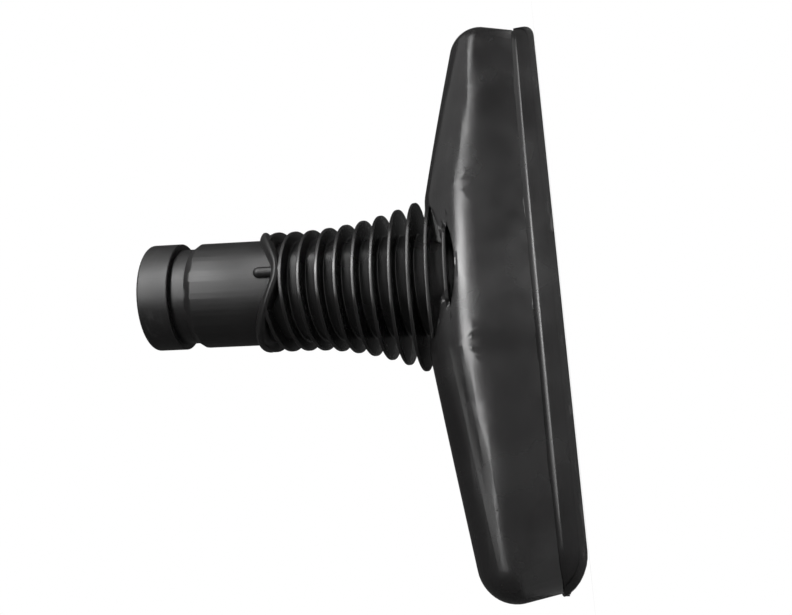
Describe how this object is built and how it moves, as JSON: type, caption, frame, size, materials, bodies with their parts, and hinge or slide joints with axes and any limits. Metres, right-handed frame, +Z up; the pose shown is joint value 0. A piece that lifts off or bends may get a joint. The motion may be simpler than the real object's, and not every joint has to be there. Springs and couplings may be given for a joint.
{
  "type": "vacuum wide nozzle",
  "caption": "Wide suction nozzle for a vacuum cleaner: a long oval head with an open mouth, a ribbed leaning neck and a round cuff with a catch groove.",
  "frame": {"origin": "below the middle of the outline, in the plane of the suction mouth that it stands on", "axes": "+X along the head's long side, +Y towards the side that the neck leans to, +Z up from the mouth"},
  "size_m": [0.192, 0.0648, 0.1331],
  "materials": {
    "moulded_plastic": "satin, very dark grey, moulded"
  },
  "bodies": {
    "root": {"nozzle": "moulded_plastic"}
  },
  "joints": []
}
